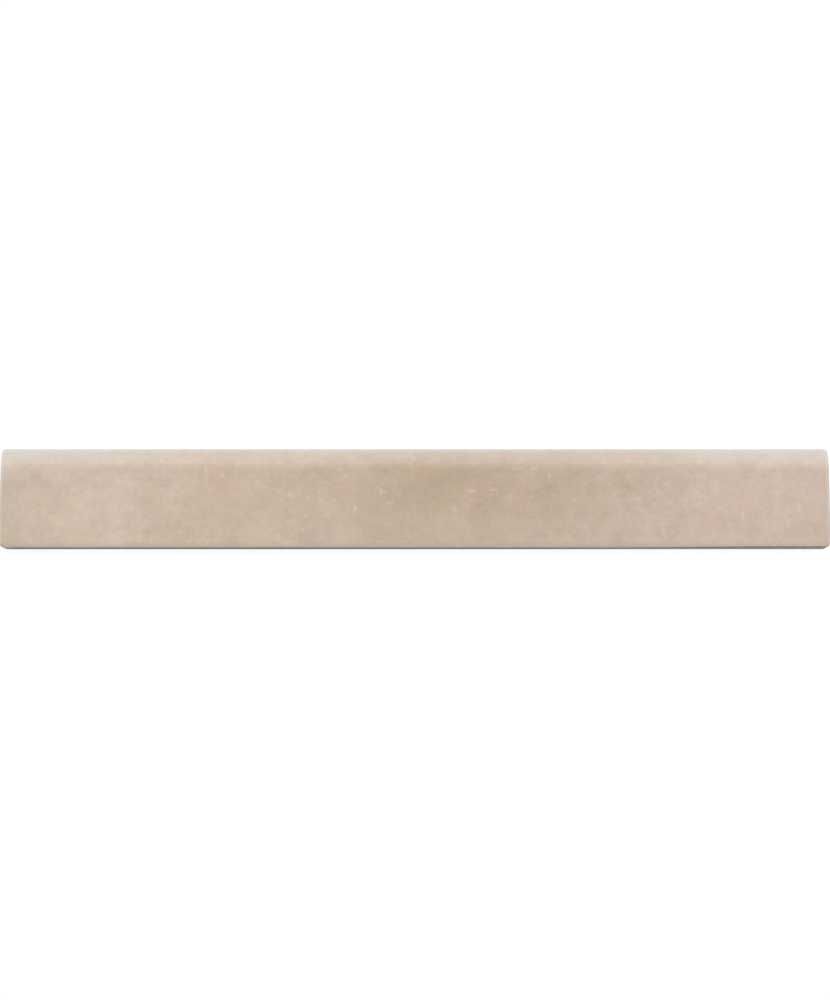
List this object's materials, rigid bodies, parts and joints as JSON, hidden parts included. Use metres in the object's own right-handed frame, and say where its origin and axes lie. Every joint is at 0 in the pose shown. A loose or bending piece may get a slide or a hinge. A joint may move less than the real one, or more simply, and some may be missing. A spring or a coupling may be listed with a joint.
{
  "type": "skirting tile",
  "caption": "Flat rectangular skirting tile in beige concrete-look glazed porcelain, with a rounded nose along the top edge and a keyed back, bonded along the foot of a wall.",
  "frame": {"origin": "middle of the back, on the plane of the ribs that are bonded to the wall", "axes": "+X along the length, +Y towards the nosed top edge, +Z out of the decorated face"},
  "size_m": [0.6, 0.073, 0.0095],
  "materials": {
    "beige_glazed_porcelain": "satin"
  },
  "bodies": {
    "root": {"skirting_tile": "beige_glazed_porcelain"}
  },
  "joints": []
}
